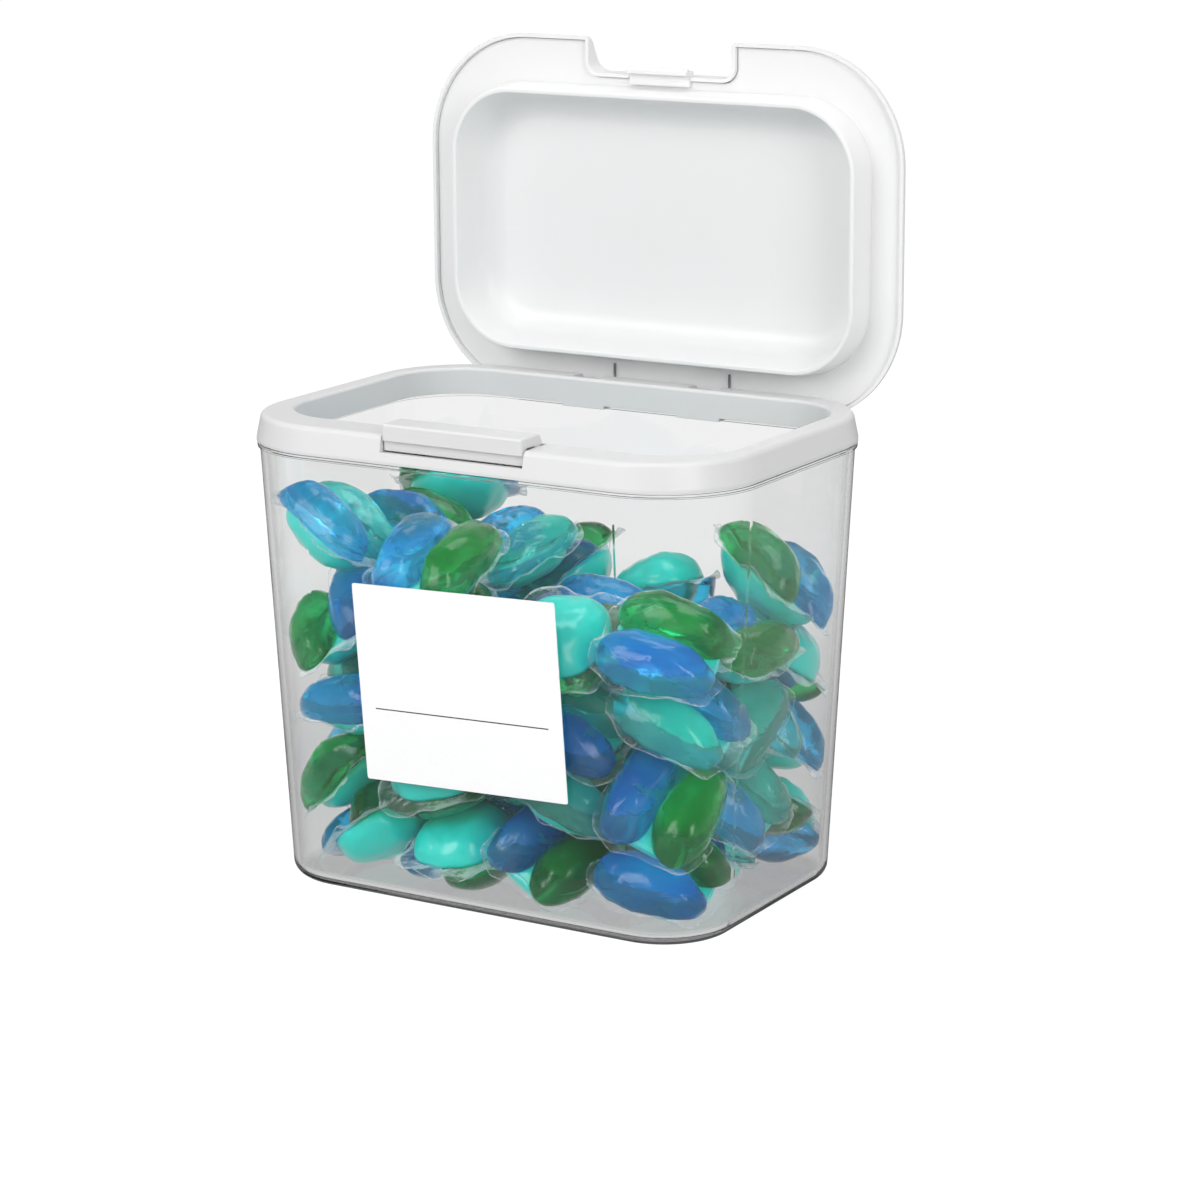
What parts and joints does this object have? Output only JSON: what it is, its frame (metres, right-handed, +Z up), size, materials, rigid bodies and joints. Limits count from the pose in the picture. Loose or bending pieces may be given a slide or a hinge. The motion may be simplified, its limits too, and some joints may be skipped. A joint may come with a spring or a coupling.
{
  "type": "laundry pod tub",
  "caption": "Clear tapered storage tub for laundry pods with a white collar, a sprung flip-up lid, a rocking front latch, a blank label and a heap of sealed pods.",
  "frame": {"origin": "centre of the tub's footprint, on the surface it stands on", "axes": "+Z up, +X to the right seen from the front, -Y towards the front, where the latch and the label are"},
  "size_m": [0.195, 0.1522, 0.2904],
  "materials": {
    "clear_tub": "clear, gloss",
    "white_plastic": "satin",
    "steel_pin": "drawn",
    "spring_wire": "drawn",
    "label_paper": "matt white",
    "pod_film": "clear film over coloured liquid"
  },
  "bodies": {
    "tub": {"collar": "white_plastic", "hinge_pin_left": "steel_pin", "hinge_pin_right": "steel_pin", "hinge_spring_left": "spring_wire", "hinge_spring_right": "spring_wire", "label": "label_paper", "latch_pin": "steel_pin", "latch_spring_left": "spring_wire", "latch_spring_right": "spring_wire", "pod_01": "pod_film", "pod_02": "pod_film", "pod_03": "pod_film", "pod_04": "pod_film", "pod_05": "pod_film", "pod_06": "pod_film", "pod_07": "pod_film", "pod_08": "pod_film", "pod_09": "pod_film", "pod_10": "pod_film", "pod_11": "pod_film", "pod_12": "pod_film", "pod_13": "pod_film", "pod_14": "pod_film", "pod_15": "pod_film", "pod_16": "pod_film", "pod_17": "pod_film", "pod_18": "pod_film", "pod_19": "pod_film", "pod_20": "pod_film", "pod_21": "pod_film", "pod_22": "pod_film", "pod_23": "pod_film", "pod_24": "pod_film", "pod_25": "pod_film", "pod_26": "pod_film", "pod_27": "pod_film", "pod_28": "pod_film", "pod_29": "pod_film", "pod_30": "pod_film", "pod_31": "pod_film", "pod_32": "pod_film", "pod_33": "pod_film", "pod_34": "pod_film", "pod_35": "pod_film", "pod_36": "pod_film", "pod_37": "pod_film", "pod_38": "pod_film", "pod_39": "pod_film", "pod_40": "pod_film", "pod_41": "pod_film", "pod_42": "pod_film", "pod_43": "pod_film", "pod_44": "pod_film", "pods_middle": "pod_film", "tub_body": "clear_tub"},
    "lid": {"lid_cover": "white_plastic", "lid_liner": "white_plastic"},
    "latch": {"latch_button": "white_plastic"}
  },
  "joints": [
    {"name": "lid_hinge", "type": "hinge", "parent": "tub", "child": "lid", "pos_m": [0, 0.0642, 0.1606], "axis": [1, 0, 0], "range_deg": [0, 90], "stiffness_Nm_per_rad": 0.05, "springref_deg": -20.05, "deforming": ["hinge_spring_left", "hinge_spring_right"]},
    {"name": "latch_press", "type": "hinge", "parent": "tub", "child": "latch", "pos_m": [0, -0.0577, 0.162], "axis": [1, 0, 0], "range_deg": [0, 8], "stiffness_Nm_per_rad": 0.05, "springref_deg": -17.19, "deforming": ["latch_spring_left", "latch_spring_right"]}
  ]
}
